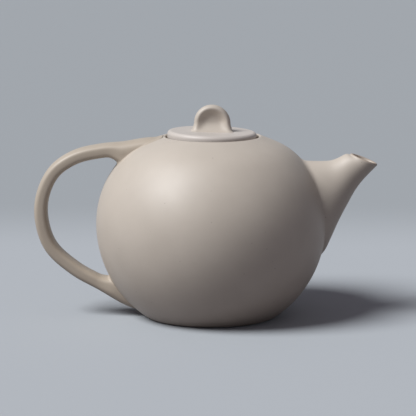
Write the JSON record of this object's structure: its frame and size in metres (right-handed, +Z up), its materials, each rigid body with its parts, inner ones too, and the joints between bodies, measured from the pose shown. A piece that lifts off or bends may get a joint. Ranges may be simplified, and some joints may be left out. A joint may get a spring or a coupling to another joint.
{
  "type": "teapot",
  "caption": "Round stoneware teapot with a short upturned spout, a side loop handle, and a flat inset lid with a thumb-pressed tab knob that lifts off and turns.",
  "frame": {"origin": "on the surface that the pot stands on, under the middle of its whole length from handle to spout", "axes": "+X towards the spout, -X towards the handle, +Z up the pot's axis, which is at x = 0.00377, with the mouth and lid centred at x = 0.00467"},
  "size_m": [0.239, 0.16, 0.148],
  "materials": {
    "glaze": "satin matte warm grey glaze, faintly speckled",
    "bare_clay": "unglazed fired stoneware, fine grain"
  },
  "bodies": {
    "pot": {"pot_floor": "glaze", "pot_base": "glaze", "pot_belly": "glaze", "pot_shoulder": "glaze", "foot_ring": "bare_clay", "lid_seat": "bare_clay", "strainer": "glaze", "spout": "glaze", "handle": "glaze"},
    "lid_flange": {"lid_flange": "bare_clay"},
    "lid": {"lid_plate": "glaze", "lid_knob": "glaze"}
  },
  "joints": [
    {"name": "lid_lift", "type": "slide", "parent": "pot", "child": "lid_flange", "axis": [0, 0, 1], "range_m": [0, 0.05]},
    {"name": "lid_turn", "type": "hinge", "parent": "lid_flange", "child": "lid", "pos_m": [0.00467, 0, 0.127], "axis": [0, 0, 1], "continuous": true}
  ]
}
